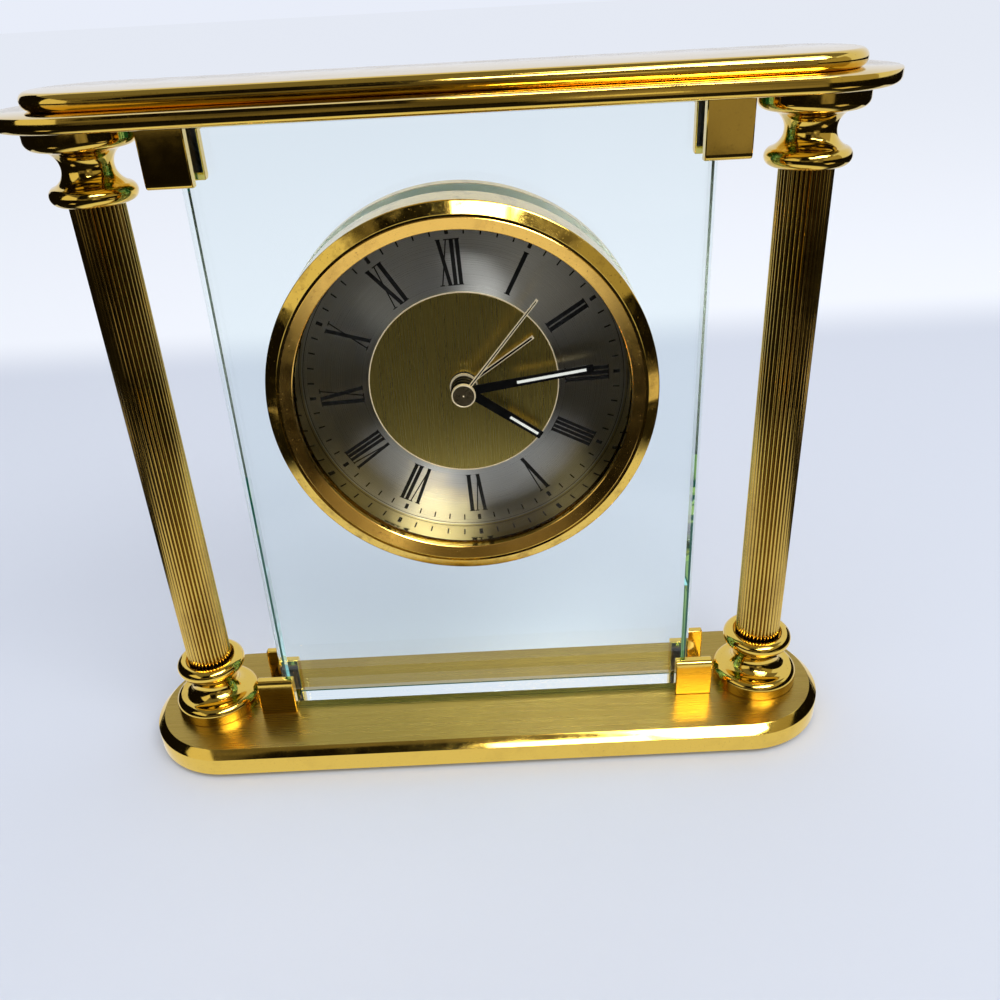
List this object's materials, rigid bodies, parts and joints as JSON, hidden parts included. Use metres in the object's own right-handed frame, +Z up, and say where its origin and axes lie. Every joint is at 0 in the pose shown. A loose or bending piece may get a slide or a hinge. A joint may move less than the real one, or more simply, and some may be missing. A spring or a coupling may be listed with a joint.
{
  "type": "desk clock",
  "caption": "Portico desk clock: brass base, reeded columns and cornice round a clipped glass panel that carries a round alarm clock with numerals, hands and rear controls.",
  "frame": {"origin": "middle of the underside, on the floor", "axes": "+X to the right as seen from the front, +Y to the back, +Z up"},
  "size_m": [0.182, 0.044, 0.1653],
  "materials": {
    "base_brass": "brushed along its length",
    "polished_brass": "polished and lacquered",
    "reeded_brass": "polished",
    "bezel_brass": "polished outside, satin inside",
    "felt": "short pile",
    "panel_glass": "polished, pale green edges",
    "lens_glass": "clear",
    "steel": "plain",
    "rubber": "matt",
    "clear_rubber": "milky, soft",
    "silver_dial": "spun",
    "gold_dial": "brushed upright",
    "black_hands": "satin black",
    "gold_hand": "polished",
    "white_moulding": "moulded",
    "train_brass": "turned",
    "black_moulding": "fine grain",
    "knob_moulding": "moulded",
    "copper": "enamelled wire",
    "board": "lacquered",
    "buzzer": "plain",
    "cell": "plain sleeve"
  },
  "bodies": {
    "frame": {"alarm_buzzer": "buzzer", "base_felt": "felt", "base_plate": "base_brass", "battery": "cell", "battery_contact_negative": "steel", "battery_contact_positive": "steel", "bezel": "bezel_brass", "case_drum": "polished_brass", "circuit_board": "board", "clip_pads": "rubber", "clip_screws": "steel", "coil": "copper", "column_capital_left": "polished_brass", "column_capital_right": "polished_brass", "column_foot_left": "polished_brass", "column_foot_right": "polished_brass", "column_tube_left": "reeded_brass", "column_tube_right": "reeded_brass", "cornice_cap": "polished_brass", "cornice_plate": "polished_brass", "cover_screws": "steel", "dial_centre": "gold_dial", "dial_plate": "silver_dial", "front_gasket": "clear_rubber", "front_plate": "black_moulding", "glass_clip_lower_left": "polished_brass", "glass_clip_lower_right": "polished_brass", "glass_clip_upper_left": "polished_brass", "glass_clip_upper_right": "polished_brass", "glass_panel": "panel_glass", "lens": "lens_glass", "pillar_screws": "steel", "quartz_crystal": "steel", "rear_cover": "black_moulding", "rear_gasket": "clear_rubber", "rear_plate": "black_moulding", "retaining_ring": "polished_brass", "stator": "steel", "tie_rod_left": "steel", "tie_rod_right": "steel"},
    "minute_train": {"minute_hand": "black_hands", "cannon_pinion": "train_brass"},
    "hour_train": {"hour_hand": "black_hands", "hour_wheel": "white_moulding"},
    "minute_wheel_body": {"minute_wheel": "white_moulding"},
    "time_knob": {"time_set_knob": "knob_moulding"},
    "second_train": {"second_hand": "gold_hand", "second_hand_cap": "black_hands", "second_wheel": "white_moulding"},
    "third_wheel_body": {"third_wheel": "white_moulding"},
    "centre_wheel_body": {"centre_wheel": "white_moulding"},
    "intermediate_wheel_body": {"intermediate_wheel": "white_moulding"},
    "rotor_body": {"rotor": "steel"},
    "alarm_train": {"alarm_hand": "black_hands", "alarm_wheel": "white_moulding"},
    "alarm_knob": {"alarm_set_knob": "knob_moulding"},
    "switch": {"alarm_switch": "knob_moulding"},
    "door": {"battery_door": "black_moulding"}
  },
  "joints": [
    {"name": "minute_turn", "type": "hinge", "parent": "frame", "child": "minute_train", "pos_m": [0, 0.0008, 0.0998], "axis": [0, 1, 0], "continuous": true},
    {"name": "hour_turn", "type": "hinge", "parent": "frame", "child": "hour_train", "pos_m": [0, 0.0008, 0.0998], "axis": [0, 1, 0], "continuous": true},
    {"name": "minute_wheel_turn", "type": "hinge", "parent": "frame", "child": "minute_wheel_body", "pos_m": [0.0084, 0.0008, 0.0998], "axis": [0, 1, 0], "continuous": true},
    {"name": "time_knob_turn", "type": "hinge", "parent": "frame", "child": "time_knob", "pos_m": [0.0157, 0.0008, 0.0964], "axis": [0, 1, 0], "continuous": true},
    {"name": "second_turn", "type": "hinge", "parent": "frame", "child": "second_train", "pos_m": [0, 0.0008, 0.0998], "axis": [0, 1, 0], "continuous": true},
    {"name": "third_wheel_turn", "type": "hinge", "parent": "frame", "child": "third_wheel_body", "pos_m": [-0.00546, 0.0008, 0.10631], "axis": [0, 1, 0], "continuous": true},
    {"name": "centre_wheel_turn", "type": "hinge", "parent": "frame", "child": "centre_wheel_body", "pos_m": [0, 0.0008, 0.0998], "axis": [0, 1, 0], "continuous": true},
    {"name": "intermediate_wheel_turn", "type": "hinge", "parent": "frame", "child": "intermediate_wheel_body", "pos_m": [0.00355, 0.0008, 0.10741], "axis": [0, 1, 0], "continuous": true},
    {"name": "rotor_turn", "type": "hinge", "parent": "frame", "child": "rotor_body", "pos_m": [0.00919, 0.0008, 0.10947], "axis": [0, 1, 0], "continuous": true},
    {"name": "alarm_turn", "type": "hinge", "parent": "frame", "child": "alarm_train", "pos_m": [0, 0.0008, 0.0998], "axis": [0, 1, 0], "continuous": true},
    {"name": "alarm_knob_turn", "type": "hinge", "parent": "frame", "child": "alarm_knob", "pos_m": [-0.00793, 0.0008, 0.0961], "axis": [0, 1, 0], "continuous": true},
    {"name": "switch_slide", "type": "slide", "parent": "frame", "child": "switch", "axis": [1, 0, 0], "range_m": [0, 0.004]},
    {"name": "door_slide", "type": "slide", "parent": "frame", "child": "door", "axis": [0, 1, 0], "range_m": [0, 0.012]}
  ],
  "couplings": [
    {"joint": "hour_turn", "follows": "minute_turn", "ratio": 0.083333},
    {"joint": "minute_wheel_turn", "follows": "minute_turn", "ratio": -0.33333},
    {"joint": "time_knob_turn", "follows": "minute_turn", "ratio": 1.2},
    {"joint": "third_wheel_turn", "follows": "second_turn", "ratio": -0.125},
    {"joint": "centre_wheel_turn", "follows": "second_turn", "ratio": 0.016667},
    {"joint": "intermediate_wheel_turn", "follows": "second_turn", "ratio": -6},
    {"joint": "rotor_turn", "follows": "second_turn", "ratio": 30},
    {"joint": "alarm_knob_turn", "follows": "alarm_turn", "ratio": -4}
  ]
}
